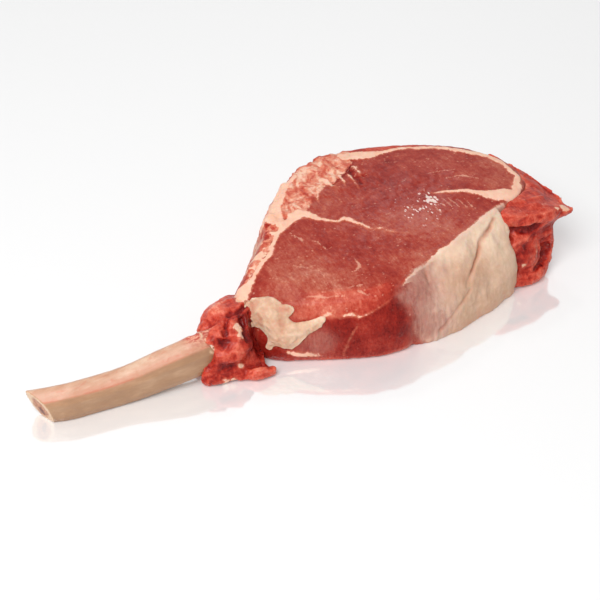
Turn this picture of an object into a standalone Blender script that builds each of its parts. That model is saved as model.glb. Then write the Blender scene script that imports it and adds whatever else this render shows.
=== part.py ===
"""A raw veal tomahawk chop: a rib steak on its long scraped rib bone.

The chop lies flat on its cut face. +X runs from the tip of the bone to the far end of the meat,
+Y points to the chest side, +Z is up, and the origin is the middle of the foot of its box.
Lengths below are in millimetres, and MM turns them into metres.
"""

import math

import bmesh
import bpy
import numpy as np
from mathutils import Matrix, Vector
from mathutils.bvhtree import BVHTree
from mathutils.geometry import delaunay_2d_cdt

MM = 0.001
COLLECTION = "veal_tomahawk_chop"
GAP = 0.3                    # left between pieces that lie against each other
WELD = 0.02                  # slivers thinner than this are closed up
SINK = 4.0                   # how far a blank reaches into its neighbour before it is cut back

# Loin: the main body of meat, a slab between a cut underside and a cut face.
LOIN_AROUND = 72             # points round each of its rings
FOOT_ROUND = 2.5             # rounding of the edge that it rests on
WALL_LEVELS = (0.0, 0.18, 0.4, 0.62, 0.82, 1.0)
WALL_BELLY = 2.2             # how early the wall swings out below the rim
FACE_LEVELS = (0.12, 0.3, 0.52, 0.76)
FOOT_INSET = 2.2             # inner ring of the underside, in foot roundings
FACE_CROWN = 1.6             # the cut face bulges this much
SPINE_START = (-14.0, -17.0, 31.0)
SPINE_END = (96.0, 4.0, 36.5)

# Round the loin: rim x, y, z, foot x, y, and the radius of the rim's rounding.
LOIN_STATIONS = (
    (-35, -14, 26, -36, -21, 5),      # blunt end at the rib's neck
    (-28, -24, 28, -29, -33, 6),
    (-15, -34, 29.5, -13, -42, 8),
    (1, -43, 31, 3, -50, 9),
    (17, -49, 32, 20, -56, 7),
    (31, -46, 33.5, 34, -55, 3),
    (50, -41, 35.5, 54, -44, 1.5),    # bare wall behind the side fat
    (75, -34, 37, 77, -37, 1.5),
    (93, -28, 38, 94, -30, 1.5),
    (109.5, -24.5, 38, 109, -26.5, 2),
    (121, -15.5, 37, 120, -17, 2.5),   # end of the cap muscle
    (124.5, 0, 36.5, 124, 1, 3),
    (119, 15, 36.5, 120, 16, 3),
    (106.5, 30, 36.5, 108, 32, 3),     # far edge, on the chest side
    (84, 44, 36, 86, 47, 3),
    (61, 53, 35.5, 63, 56, 3),
    (40, 55, 35, 40, 58, 4),
    (20, 46, 34, 17, 50, 4),
    (4, 30, 33, 0, 34, 4),
    (-11, 13, 31.5, -15, 17, 4),
    (-26, -1, 29, -30, 3, 4),
    (-35, -8, 27, -38, -8, 4),
)

# Chine: the sawn corner of spongy backbone, parted from the loin along this line (x, y).
CHINE_PARTING = (
    (-6, 36), (8, 26), (16, 25), (24, 29.5), (33, 31.5), (38, 29.5), (46, 32.5), (54, 38), (59, 46), (64, 62),
)
CHINE_OUTSIDE = (25, 80)
CUTTER_FOOT = -10            # cutters run from below the chop
CUTTER_TOP = 60              # to above it

# Side fat: rim x, y, z and foot x, y of its outer skin, from its thin end to its thick end.
FAT_STATIONS = (
    (27, -47.8, 32.3, 33, -56),
    (37, -45.3, 34, 44, -58),
    (50, -42.5, 35.7, 60, -57),
    (63, -39.5, 36.7, 75, -53.5),
    (76, -35.5, 37.3, 87, -50),
    (88, -31.5, 38, 95, -47.5),
    (95, -29.5, 38.2, 97, -45),
)
FAT_LEVELS = (0.0, 0.05, 0.14, 0.28, 0.45, 0.65, 0.85, 1.0)
FAT_SHOULDER = 2.4           # how full the fat's outer skin is below the rim
FAT_RIM = 2.5                # width of the rim that shows at the edge of the face
FAT_ALONG = 17               # sections from end to end

# Rib bone: x, y, height of its underside, width, depth along its middle line.
BONE_STATIONS = (
    (-134.3, -14, 0, 9.5, 14.5),
    (-122, -18, 0, 9.5, 16),
    (-108, -20, 0, 9.5, 16),
    (-94, -21.5, 0.5, 10, 16.5),
    (-80, -23, 2, 10.5, 18),
    (-66, -24.5, 4, 11, 18.5),
    (-54, -24, 4.5, 10.5, 18),
    (-42, -22.5, 5, 9, 16),
)
BONE_ALONG = 20
BONE_AROUND = 16
BONE_SECTION = ((0.42, 0.02), (0.5, 0.3), (0.46, 0.72), (0.1, 0.94), (-0.3, 1.0), (-0.5, 0.8),
                (-0.48, 0.3), (-0.3, 0.03))     # across (toward -Y) and up, in widths and depths
BONE_OVERHANG = 4.0          # the top of the sawn tip reaches past its foot
BONE_SKEW = 8.0              # the tip's near side is sawn back by this much
BONE_LEANING = 2             # sections at the tip over which this dies away

# Strands of muscle: each a row of x, y, z, radius. The first of each bundle is its core.
NECK_STRANDS = (
    ((-60, -23, 12, 3), (-53, -22, 12, 8), (-44, -20.5, 12.5, 11.5), (-33, -19, 14, 12)),
    ((-57, -17, 17, 3), (-50, -15.5, 16.5, 7.5), (-42, -13, 17, 8.5), (-31, -11, 17, 8)),
    ((-61, -25, 19, 2.5), (-54, -25, 18.5, 5), (-46, -23, 19, 6.5), (-34, -20, 20, 6)),
    ((-58, -31, 14, 2), (-51, -31, 13, 4.5), (-43, -30, 14, 5), (-34, -26, 14, 5)),
    ((-47, -31, 20, 1.5), (-43, -28, 20, 3), (-35, -23, 20, 4)),
    ((-63, -28, 6, 3), (-56, -29, 7, 5.5), (-46, -28, 8, 6.5), (-33, -28, 8, 6)),
    ((-64, -30, 3, 1.5), (-57, -32, 3, 3.5), (-47, -33, 3.5, 3.5), (-34, -33, 4, 3)),
    ((-50, -35, 2, 1), (-41, -38, 3, 2.5), (-32, -40, 2.5, 1.8)),
    ((-60, -18, 6, 3), (-51, -16, 7, 7), (-40, -12, 8, 8), (-31, -8, 10, 7)),
)
END_STRANDS = (
    ((94, -30, 17, 4), (102, -32, 17, 10), (110, -29, 17, 13), (118, -26, 16, 11), (126, -22, 17, 4)),
    ((95, -32, 33, 2), (104, -34, 31.5, 5), (116, -34, 30, 6.5), (126, -34, 29, 4.5), (133, -38, 30, 1.2)),
    ((102, -25, 32, 5), (114, -26, 30.5, 7), (126, -26, 29.5, 5.5), (132, -30, 30, 2.5)),
    ((119, 13, 33, 2), (124, 0, 32, 3.5), (125, -10, 31.5, 5), (129, -21, 31, 3.5), (132, -29, 31, 1.5)),
    ((98, -37, 23, 3), (103, -38, 15, 6.5), (107, -38, 8, 6.5), (111, -38, 4, 4)),
    ((112, -35, 25, 4), (112, -38, 15, 4.5), (112, -38, 6, 4.5)),
    ((119, -35, 26, 4), (119, -37, 16, 4.5), (118, -38, 7, 4)),
    ((121, 8, 20, 2), (124, -4, 20, 5), (125, -16, 18, 6), (124, -27, 14, 5)),
    ((121, 4, 6, 2), (123, -8, 7, 5), (123, -20, 6, 5.5), (119, -31, 4, 4)),
    ((96, -43, 3, 2.5), (106, -44, 3.5, 3.8), (115, -42, 4, 3.8), (121, -41, 7, 1.2)),
)
STRAND_AROUND = 10
STRAND_STEP = 3              # rings on each span of a strand

# Fat lobe: a pad draped on the loin's near corner. Its outline (across, up) lies in a plane through
# LOBE_CENTRE that faces LOBE_FACING.
LOBE_CENTRE = (-24, -31, 18)
LOBE_FACING = (-0.5, -0.72, 0.45)
LOBE_OUTLINE = (
    (-16.4, 9.7), (-13.3, 11.7), (-7.5, 12.5), (-2.1, 11.9), (0.6, 9.8), (3.8, 9.9), (5.7, 8.2),
    (4.6, 5.6), (2.7, 4.3), (6.4, 2.4), (10.8, 2.9), (15.3, 4.1), (19.7, 5.3), (18.2, 0.8),
    (13.3, -2.9), (9, -6.9), (5.5, -10.3), (1.8, -9.6), (-2.2, -9.4), (-4.4, -11.8), (-6.3, -10.1),
    (-5.5, -6.3), (-7.4, -3.6), (-11.5, -1.1), (-15.1, -1), (-17, -0.4), (-14.3, 2.4), (-16.2, 4.6),
)
LOBE_THICKNESS = 4.2
LOBE_EDGE = 1.0              # thickness at the outline
LOBE_SWELL = 4.0             # distance from the outline over which it thickens
LOBE_GRID = 3.0
LOBE_OVERHANG = -1.5         # where the loin falls away under it, the pad stays at this level
LOBE_BACK = 1.0              # extra thickness behind where the pad stands free
LOBE_REACH = 40              # from this far out the pad is laid on the loin


def catmull_rom(points, per_span, closed):
    """A smooth curve through points, with per_span samples on each span."""
    points = np.asarray(points, float)
    count = len(points)
    spans = count if closed else count - 1
    samples = []
    for span in range(spans):
        index = [span - 1, span, span + 1, span + 2]
        if closed:
            index = [i % count for i in index]
        else:
            index = [min(max(i, 0), count - 1) for i in index]
        before, start, end, after = points[index]
        for step in range(per_span):
            t = step / per_span
            samples.append(0.5 * (2 * start + (end - before) * t
                                  + (2 * before - 5 * start + 4 * end - after) * t ** 2
                                  + (3 * start - before - 3 * end + after) * t ** 3))
    if not closed:
        samples.append(points[-1])
    return np.array(samples)


def even_samples(curve, count, closed):
    """count samples spaced evenly along a curve, by the length of its x and y."""
    track = np.vstack([curve, curve[:1]]) if closed else curve
    steps = np.linalg.norm(np.diff(track[:, :2], axis=0), axis=1)
    along = np.concatenate([[0], np.cumsum(steps)])
    wanted = np.linspace(0, along[-1], count + 1 if closed else count)[:count]
    return np.stack([np.interp(wanted, along, column) for column in track.T], axis=1)


def new_material(name, color, roughness):
    material = bpy.data.materials.new(name)
    material.use_nodes = True
    shader = material.node_tree.nodes["Principled BSDF"]
    shader.inputs["Base Color"].default_value = (*color, 1.0)
    shader.inputs["Roughness"].default_value = roughness
    material.diffuse_color = (*color, 1.0)
    return material


def new_object(name, bm, collection, material=None):
    """Turns a bmesh in millimetres into an object in metres."""
    bmesh.ops.scale(bm, vec=(MM, MM, MM), verts=bm.verts)
    bmesh.ops.recalc_face_normals(bm, faces=bm.faces)
    mesh = bpy.data.meshes.new(name)
    bm.to_mesh(mesh)
    bm.free()
    mesh.shade_smooth()
    if material:
        mesh.materials.append(material)
    obj = bpy.data.objects.new(name, mesh)
    collection.objects.link(obj)
    return obj


def loft(rings):
    """A closed skin over rings of equal length, with a fan of faces over the first and the last."""
    bm = bmesh.new()
    rows = [[bm.verts.new(point) for point in ring] for ring in rings]
    count = len(rows[0])
    for lower, upper in zip(rows, rows[1:]):
        for i in range(count):
            j = (i + 1) % count
            bm.faces.new((lower[i], lower[j], upper[j], upper[i]))
    for row, turn in ((rows[0], -1), (rows[-1], 1)):
        middle = bm.verts.new(sum((v.co for v in row), Vector()) / count)
        for i in range(count):
            pair = (row[i], row[(i + 1) % count])[::turn]
            bm.faces.new((*pair, middle))
    return bm


def combine(target, other, operation):
    """Applies one Boolean of other to target."""
    modifier = target.modifiers.new(operation, "BOOLEAN")
    modifier.operation = operation
    modifier.solver = "EXACT"
    modifier.object = other
    settle(target)


def settle(obj):
    """Replaces an object's mesh with its evaluated mesh."""
    graph = bpy.context.evaluated_depsgraph_get()
    graph.update()
    mesh = bpy.data.meshes.new_from_object(obj.evaluated_get(graph))
    obj.modifiers.clear()
    obj.data = mesh


def swollen(obj, cutters):
    """A copy of an object, grown by the gap, to cut its neighbours with."""
    mesh = obj.data.copy()
    normals = [vert.normal.copy() for vert in mesh.vertices]
    for vert, normal in zip(mesh.vertices, normals):
        vert.co += normal * GAP * MM
    copy = bpy.data.objects.new(obj.name + "_room", mesh)
    cutters.objects.link(copy)
    copy.hide_render = True
    copy.display_type = "WIRE"
    return copy


def build_loin(collection):
    """The slab: its underside, its wall and the cut face, ring by ring towards the middle."""
    stations = even_samples(catmull_rom(LOIN_STATIONS, 8, True), LOIN_AROUND, True)
    rim, foot, rounding = stations[:, :3], stations[:, 3:5], stations[:, 5:6]
    spine_start, spine_end = np.array(SPINE_START), np.array(SPINE_END)
    spine = spine_end - spine_start
    along = np.clip(((rim - spine_start)[:, :2] @ spine[:2]) / (spine[:2] @ spine[:2]), 0, 1)
    heart = spine_start + along[:, None] * spine
    inward = (heart - rim)[:, :2]
    inward /= np.linalg.norm(inward, axis=1, keepdims=True)

    def ring(flat, height):
        return np.column_stack([flat, np.broadcast_to(height, (len(flat), 1))])

    wall_top = rim[:, 2:3] - rounding * 0.9
    rings = [ring(foot + inward * FOOT_ROUND * FOOT_INSET, 0.0),
             ring(foot + inward * FOOT_ROUND, 0.0),
             ring(foot + inward * FOOT_ROUND * 0.25, FOOT_ROUND * 0.35)]
    wall_foot = FOOT_ROUND * 1.2
    for level in WALL_LEVELS:
        reach = 1 - level ** WALL_BELLY
        height = wall_foot + (wall_top - wall_foot) * level
        rings.append(ring(rim[:, :2] + (foot - rim[:, :2]) * reach, height))
    rings.append(ring(rim[:, :2] + inward * rounding * 0.3, rim[:, 2:3] - rounding * 0.3))
    face_edge = rim[:, :2] + inward * rounding
    rings.append(ring(face_edge, rim[:, 2:3]))
    for level in FACE_LEVELS:
        crown = FACE_CROWN * math.sin(level * math.pi / 2)
        height = rim[:, 2:3] + (heart[:, 2:3] - rim[:, 2:3]) * level + crown
        rings.append(ring(face_edge + (heart[:, :2] - face_edge) * level, height))
    return new_object("loin_meat", loft(rings), collection, new_material("veal", (0.45, 0.09, 0.06), 0.4))


def build_bone(collection):
    """The rib: one section swept along its bend, sawn off aslant at the tip."""
    stations = even_samples(catmull_rom(BONE_STATIONS, 6, False), BONE_ALONG, False)
    section = even_samples(catmull_rom(BONE_SECTION, 6, True), BONE_AROUND, True)
    tangents = np.gradient(stations[:, :2], axis=0)
    tangents /= np.linalg.norm(tangents, axis=1, keepdims=True)
    rings = []
    for step, ((x, y, floor, width, depth), (ahead_x, ahead_y)) in enumerate(zip(stations, tangents)):
        ring = []
        for across, up in section:
            lean = (BONE_OVERHANG * (up - 0.4) - BONE_SKEW * across) * max(1 - step / BONE_LEANING, 0)
            ring.append((x + ahead_y * across * width - ahead_x * lean,
                         y - ahead_x * across * width - ahead_y * lean,
                         max(floor + up * depth, 0)))
        rings.append(ring)
    return new_object("rib_bone", loft(rings), collection, new_material("bone", (0.6, 0.35, 0.23), 0.5))


def build_side_fat(collection):
    """The fat cover on the near side: a skin that swells out below the rim, with a flat foot."""
    stations = even_samples(catmull_rom(FAT_STATIONS, 4, False), FAT_ALONG, False)
    rim, foot = stations[:, :3], stations[:, 3:5]
    ahead = np.gradient(rim[:, :2], axis=0)
    ahead /= np.linalg.norm(ahead, axis=1, keepdims=True)
    inward = np.column_stack([-ahead[:, 1], ahead[:, 0]])
    rings = []
    for (x, y, top), (foot_x, foot_y), (in_x, in_y) in zip(rim, foot, inward):
        section = [(x + in_x * FAT_RIM, y + in_y * FAT_RIM, top + 0.1)]
        for level in FAT_LEVELS:
            out = 1 - (1 - level) ** FAT_SHOULDER
            section.append((x + (foot_x - x) * out, y + (foot_y - y) * out, top * (1 - level)))
        for height in (0.0, top * 0.5, top - SINK):
            section.append((x + in_x * SINK, y + in_y * SINK, height))
        rings.append(section)
    return new_object("side_fat", loft(rings), collection, new_material("fat", (0.75, 0.52, 0.38), 0.45))


def build_strand(name, knots, collection):
    """A tapered strand of muscle through its knots, each x, y, z, radius."""
    track = catmull_rom(knots, STRAND_STEP, False)
    ahead = np.gradient(track[:, :3], axis=0)
    rings = []
    for (x, y, z, radius), direction in zip(track, ahead):
        forward = Vector(direction).normalized()
        side = Vector((0, 0, 1)).cross(forward)
        side = side.normalized() if side.length > 0.2 else Vector((1, 0, 0))
        lift = forward.cross(side).normalized()
        ring = []
        for step in range(STRAND_AROUND):
            angle = 2 * math.pi * step / STRAND_AROUND
            ring.append(Vector((x, y, z)) + (side * math.cos(angle) + lift * math.sin(angle)) * radius)
        rings.append(ring)
    return new_object(name, loft(rings), collection)


def build_strands(name, strands, collection, cutters, color):
    """A bundle of strands joined into one body."""
    whole = build_strand(name, strands[0], collection)
    for number, knots in enumerate(strands[1:]):
        strand = build_strand(f"{name}_strand_{number}", knots, cutters)
        combine(whole, strand, "UNION")
        bpy.data.objects.remove(strand)
    whole.data.materials.clear()
    whole.data.materials.append(new_material(name, color, 0.4))
    return whole


def inside(point, outline):
    """Whether a flat point lies in a closed outline."""
    x, y = point
    crossings = False
    for (x0, y0), (x1, y1) in zip(outline, np.roll(outline, -1, axis=0)):
        if (y0 > y) != (y1 > y) and x < x0 + (y - y0) * (x1 - x0) / (y1 - y0):
            crossings = not crossings
    return crossings


def edge_distance(point, outline):
    """How far a flat point is from a closed outline."""
    starts, ends = outline, np.roll(outline, -1, axis=0)
    runs = ends - starts
    along = np.clip(((point - starts) * runs).sum(1) / (runs * runs).sum(1), 0, 1)
    return np.linalg.norm(starts + along[:, None] * runs - point, axis=1).min()


def build_lobe(collection, loin):
    """A scalloped pad whose front follows the loin and swells away from its outline."""
    outline = catmull_rom(LOBE_OUTLINE, 2, True)
    low, high = outline.min(0), outline.max(0)
    points = [Vector(p) for p in outline]
    rim_count = len(points)
    for across in np.arange(low[0], high[0], LOBE_GRID):
        for up in np.arange(low[1], high[1], LOBE_GRID):
            point = np.array((across, up))
            if inside(point, outline) and edge_distance(point, outline) > LOBE_GRID * 0.35:
                points.append(Vector(point))
    border = [(i, (i + 1) % rim_count) for i in range(rim_count)]
    flat, _, faces, _, _, _ = delaunay_2d_cdt(points, border, [], 1, 1e-6)

    facing = Vector(LOBE_FACING).normalized()
    right = Vector((-facing.y, facing.x, 0)).normalized()
    lift = facing.cross(right)
    corners = [v.co / MM for v in loin.data.vertices]
    tree = BVHTree.FromPolygons(corners, [p.vertices for p in loin.data.polygons])
    bm = bmesh.new()
    fronts, backs = [], []
    for point in flat:
        base = Vector(LOBE_CENTRE) + right * point.x + lift * point.y
        hit = tree.ray_cast(base + facing * LOBE_REACH, -facing)[3]
        ground = LOBE_REACH - hit if hit else -LOBE_REACH
        depth = edge_distance(np.array(point), outline)
        swell = 1 - math.exp(-(depth / LOBE_SWELL) ** 2)
        thickness = LOBE_EDGE + (LOBE_THICKNESS - LOBE_EDGE) * swell
        front = max(ground, LOBE_OVERHANG) + thickness
        backed = ground > LOBE_OVERHANG - SINK / 2
        back = ground - SINK if backed else front - thickness - LOBE_BACK
        fronts.append(bm.verts.new(base + facing * front))
        backs.append(bm.verts.new(base + facing * back))
    for face in faces:
        bm.faces.new([fronts[i] for i in face])
        bm.faces.new([backs[i] for i in reversed(face)])
    for i, j in border:
        bm.faces.new((fronts[i], backs[i], backs[j], fronts[j]))
    return new_object("fat_lobe", bm, collection, new_material("lobe_fat", (0.72, 0.48, 0.34), 0.45))


def build_prism(name, outline, low, high, collection):
    """An upright cutter over a flat outline."""
    rings = [[(x, y, z) for x, y in outline] for z in (low, high)]
    bm = bmesh.new()
    rows = [[bm.verts.new(point) for point in ring] for ring in rings]
    lower, upper = rows
    for i in range(len(outline)):
        j = (i + 1) % len(outline)
        bm.faces.new((lower[i], lower[j], upper[j], upper[i]))
    bm.faces.new(lower)
    bm.faces.new(upper)
    prism = new_object(name, bm, collection)
    prism.hide_render = True
    prism.display_type = "WIRE"
    return prism


def part_chine(loin, collection, cutters):
    """Splits the sawn corner off the loin and returns it as its own piece."""
    parting = catmull_rom(CHINE_PARTING, 2, False)
    chine = loin.copy()
    chine.data = loin.data.copy()
    chine.name = "chine_bone"
    collection.objects.link(chine)
    chine.data.materials.clear()
    chine.data.materials.append(new_material("spongy_bone", (0.7, 0.25, 0.15), 0.5))
    corner = build_prism("chine_corner", [*parting, CHINE_OUTSIDE], CUTTER_FOOT, CUTTER_TOP, cutters)
    combine(chine, corner, "INTERSECT")
    moved = parting + np.array((GAP * 0.6, -GAP * 0.8))
    room = build_prism("chine_room", [*moved, CHINE_OUTSIDE], CUTTER_FOOT, CUTTER_TOP, cutters)
    combine(loin, room, "DIFFERENCE")
    return chine


def connected(start):
    """All vertices joined to one by edges."""
    found, queue = {start}, [start]
    while queue:
        for edge in queue.pop().link_edges:
            for vert in edge.verts:
                if vert not in found:
                    found.add(vert)
                    queue.append(vert)
    return found


def clean(obj):
    """Welds slivers left by the cuts and keeps the largest body."""
    bm = bmesh.new()
    bm.from_mesh(obj.data)
    bmesh.ops.remove_doubles(bm, verts=bm.verts, dist=WELD * MM)
    bmesh.ops.dissolve_degenerate(bm, dist=WELD * MM, edges=bm.edges)
    bodies, left = [], set(bm.verts)
    while left:
        body = connected(next(iter(left)))
        bodies.append(body)
        left -= body
    largest = max(bodies, key=len)
    crumbs = [vert for vert in bm.verts if vert not in largest]
    bmesh.ops.delete(bm, geom=crumbs, context="VERTS")
    bm.to_mesh(obj.data)
    bm.free()


def centre(pieces):
    """Moves the chop so that the middle of the foot of its box is the origin."""
    corners = np.array([v.co for piece in pieces for v in piece.data.vertices])
    low, high = corners.min(0), corners.max(0)
    middle = Vector(((low[0] + high[0]) / 2, (low[1] + high[1]) / 2, low[2]))
    for piece in pieces:
        piece.data.transform(Matrix.Translation(-middle))


def main():
    for obj in list(bpy.data.objects):
        bpy.data.objects.remove(obj)
    chop = bpy.data.collections.new(COLLECTION)
    cutters = bpy.data.collections.new(COLLECTION + "_cutters")
    bpy.context.scene.collection.children.link(chop)
    bpy.context.scene.collection.children.link(cutters)

    bone = build_bone(chop)
    loin = build_loin(chop)
    chine = part_chine(loin, chop, cutters)
    fat = build_side_fat(chop)
    lobe = build_lobe(chop, loin)
    neck = build_strands("neck_meat", NECK_STRANDS, chop, cutters, (0.6, 0.12, 0.07))
    end = build_strands("end_meat", END_STRANDS, chop, cutters, (0.55, 0.1, 0.07))
    ground = build_prism("ground", ((-200, -100), (200, -100), (200, 100), (-200, 100)), -40, 0, cutters)

    loin_room = swollen(loin, cutters)
    combine(fat, loin_room, "DIFFERENCE")
    combine(lobe, loin_room, "DIFFERENCE")
    fat_room = swollen(fat, cutters)
    lobe_room = swollen(lobe, cutters)
    bone_room = swollen(bone, cutters)
    for cutter in (ground, loin_room, lobe_room, bone_room):
        combine(neck, cutter, "DIFFERENCE")
    for cutter in (ground, loin_room, fat_room):
        combine(end, cutter, "DIFFERENCE")

    pieces = (bone, loin, chine, fat, lobe, neck, end)
    for piece in pieces:
        clean(piece)
    centre(pieces)


main()
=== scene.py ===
"""Looks of the raw veal tomahawk chop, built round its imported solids.

Each CAD piece is replaced by a dense skin made from it, with relief moved into its mesh and with
fields (signed distances to fat seams, tone of the flesh, wetness) stored on its points for its material.
All lengths are in millimetres in the chop's own frame, and MM turns them into metres.
"""

import math

import bmesh
import bpy
import numpy as np
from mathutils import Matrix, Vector
from mathutils.bvhtree import BVHTree


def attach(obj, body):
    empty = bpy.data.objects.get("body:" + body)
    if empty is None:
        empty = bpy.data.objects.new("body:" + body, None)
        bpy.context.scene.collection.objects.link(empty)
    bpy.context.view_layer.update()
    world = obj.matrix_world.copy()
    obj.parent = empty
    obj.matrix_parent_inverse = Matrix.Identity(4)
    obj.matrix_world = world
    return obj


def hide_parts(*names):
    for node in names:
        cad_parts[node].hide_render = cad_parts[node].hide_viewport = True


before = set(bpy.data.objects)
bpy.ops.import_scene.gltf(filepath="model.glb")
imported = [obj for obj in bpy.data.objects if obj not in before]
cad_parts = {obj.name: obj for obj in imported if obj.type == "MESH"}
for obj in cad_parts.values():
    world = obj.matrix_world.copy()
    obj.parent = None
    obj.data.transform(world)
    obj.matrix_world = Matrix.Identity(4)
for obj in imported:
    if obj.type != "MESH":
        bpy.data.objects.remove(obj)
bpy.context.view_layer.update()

MM = 0.001
FLOOR_GAP = 0.05             # how far the lowest points stay off the floor
FAR = -8                     # a signed distance that counts as well outside
PLAN = (1, 1, 0)             # a squeeze that measures distances seen from above

# ---------------------------------------------------------------- fields


def noise(points, size, seed=0):
    """Smooth noise, about -1 to 1, with bumps of the given size (one number, or one for each axis)."""
    scaled = points / np.asarray(size, float) + 31.7 * seed
    cell = np.floor(scaled).astype(np.int64)
    part = scaled - cell
    blend = part ** 3 * (part * (part * 6 - 15) + 10)
    total = np.zeros(len(points))
    for corner in np.ndindex(2, 2, 2):
        node = cell + corner
        code = (node[:, 0] * 73856093) ^ (node[:, 1] * 19349663) ^ (node[:, 2] * 83492791) ^ (seed * 7919)
        code = ((code ^ (code >> 13)) * 1274126177) & 0x7FFFFFFF
        code = ((code ^ (code >> 15)) * 668265263) & 0x7FFFFFFF
        weight = np.prod(np.where(corner, blend, 1 - blend), axis=1)
        total += weight * ((code & 0xFFFF) / 32768.0 - 1)
    return total


def layers(points, size, count, seed=0):
    """Noise in several octaves, each half the size and half the height of the one before."""
    size = np.asarray(size, float)
    return sum(noise(points, size / 2 ** i, seed + i) / 2 ** i for i in range(count))


def ridges(points, size, count, seed=0):
    """Like layers, but with sharp crests, about 0 to 1."""
    size = np.asarray(size, float)
    total = sum((1 - np.abs(noise(points, size / 2 ** i, seed + i)) * 1.6) / 2 ** i for i in range(count))
    return total / 2


def step(low, high, value):
    """0 below low and 1 above high, with a smooth change between; low may be the larger."""
    t = np.clip((value - low) / (high - low), 0, 1)
    return t * t * (3 - 2 * t)


def bump(distance, width):
    """1 at no distance, fading out over the width."""
    return np.exp(-(distance / width) ** 2)


def track(knots, per_span=5):
    """A smooth line through knots, each a row of coordinates with the half width last."""
    knots = np.asarray(knots, float)
    last = len(knots) - 1
    rows = []
    for span in range(last):
        before, start, end, after = knots[[max(span - 1, 0), span, span + 1, min(span + 2, last)]]
        for t in np.arange(per_span) / per_span:
            square = 2 * before - 5 * start + 4 * end - after
            cube = 3 * start - before - 3 * end + after
            rows.append(0.5 * (2 * start + (end - before) * t + square * t ** 2 + cube * t ** 3))
    return np.array(rows + [knots[-1]])


def along(points, knots, reach=8.0):
    """Signed distance to a band that follows knots: positive inside it, and never below -reach."""
    line = track(knots)
    size = line.shape[1] - 1
    flat = points[:, :size]
    field = np.full(len(points), -reach)
    margin = reach + line[:, -1].max()
    low, high = line[:, :size].min(0) - margin, line[:, :size].max(0) + margin
    close = np.all((flat > low) & (flat < high), axis=1)
    spots = flat[close]
    best = np.full(len(spots), -reach)
    for start, end in zip(line, line[1:]):
        run = end[:size] - start[:size]
        part = np.clip((spots - start[:size]) @ run / max(run @ run, 1e-9), 0, 1)
        gap = np.linalg.norm(spots - start[:size] - part[:, None] * run, axis=1)
        best = np.maximum(best, start[-1] + (end[-1] - start[-1]) * part - gap)
    field[close] = best
    return field


def union(fields):
    """Signed distance to all the shapes together."""
    return np.maximum.reduce(list(fields))


def near(points, centre, radius, squeeze=(1, 1, 1)):
    """1 at a centre, fading out over a radius that is longer on the axes with a squeeze below 1."""
    return bump(np.linalg.norm((points - np.asarray(centre)) * squeeze, axis=1), radius)


def level(points, knots):
    """y of a line through knots of x and y, at each point's x."""
    return np.interp(points[:, 0], [knot[0] for knot in knots], [knot[1] for knot in knots])


def warped(points, size, height, seeds):
    """Points pushed about by three layers of noise, so that what is drawn on them wanders."""
    return points + height * np.column_stack([layers(points, size, 3, seed) for seed in seeds])


# ---------------------------------------------------------------- meshes


def remeshed(name, mesh, voxel, smoothing):
    """An even, closed mesh round another one, smoothed."""
    rough = bpy.data.objects.new(name + "_rough", mesh)
    bpy.context.scene.collection.objects.link(rough)
    remesh = rough.modifiers.new("remesh", "REMESH")
    remesh.mode = "VOXEL"
    remesh.voxel_size = voxel * MM
    soften = rough.modifiers.new("soften", "SMOOTH")
    soften.factor = 0.5
    soften.iterations = smoothing
    graph = bpy.context.evaluated_depsgraph_get()
    dense = bpy.data.meshes.new_from_object(rough.evaluated_get(graph))
    bpy.data.objects.remove(rough)
    dense.name = name
    dense.materials.clear()
    dense.shade_smooth()
    return dense


def skin(name, nodes, voxel, grow, smoothing):
    """A dense, even copy of CAD nodes, grown a little so that it meets its neighbours."""
    bm = bmesh.new()
    for node in nodes:
        bm.from_mesh(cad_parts[node].data)
    bmesh.ops.remove_doubles(bm, verts=bm.verts, dist=1e-6)
    bm.normal_update()
    for vert, normal in [(v, v.normal.copy()) for v in bm.verts]:
        vert.co += normal * grow * MM
    mesh = bpy.data.meshes.new(name)
    bm.to_mesh(mesh)
    bm.free()
    obj = bpy.data.objects.new(name, remeshed(name, mesh, voxel, smoothing))
    bpy.context.scene.collection.objects.link(obj)
    return obj


def places(obj):
    """Where an object's points are, in millimetres."""
    flat = np.empty(len(obj.data.vertices) * 3, np.float32)
    obj.data.vertices.foreach_get("co", flat)
    return flat.reshape(-1, 3).astype(float) / MM


def facings(obj):
    """Unit normals at an object's points."""
    flat = np.empty(len(obj.data.vertices) * 3, np.float32)
    obj.data.vertex_normals.foreach_get("vector", flat)
    return flat.reshape(-1, 3).astype(float)


def put(obj, points):
    """Moves an object's points, and keeps them off the floor."""
    points = np.column_stack([points[:, :2], np.maximum(points[:, 2], FLOOR_GAP)])
    obj.data.vertices.foreach_set("co", (points * MM).astype(np.float32).ravel())
    obj.data.update()


def blurred(obj, values, rounds):
    """Values averaged with their neighbours along edges, over and over."""
    pairs = np.empty(len(obj.data.edges) * 2, np.int32)
    obj.data.edges.foreach_get("vertices", pairs)
    first, second = pairs[0::2], pairs[1::2]
    count = len(obj.data.vertices)
    degree = np.bincount(first, minlength=count) + np.bincount(second, minlength=count)
    columns = np.atleast_2d(values.T).copy()
    for _ in range(rounds):
        for i, column in enumerate(columns):
            around = np.bincount(first, column[second], count) + np.bincount(second, column[first], count)
            columns[i] = 0.5 * column + 0.5 * around / degree
    return columns.T.reshape(values.shape)


def hollows(obj, rounds):
    """How deep each point lies in a hollow, in millimetres; negative on a crest."""
    points = places(obj)
    return ((blurred(obj, points, rounds) - points) * facings(obj)).sum(1)


def store(obj, **fields):
    """Keeps a number for each point, for a material to read."""
    for name, values in fields.items():
        layer = obj.data.attributes.new(name, "FLOAT", "POINT")
        layer.data.foreach_set("value", np.asarray(values, np.float32))


# ---------------------------------------------------------------- material nodes


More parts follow.
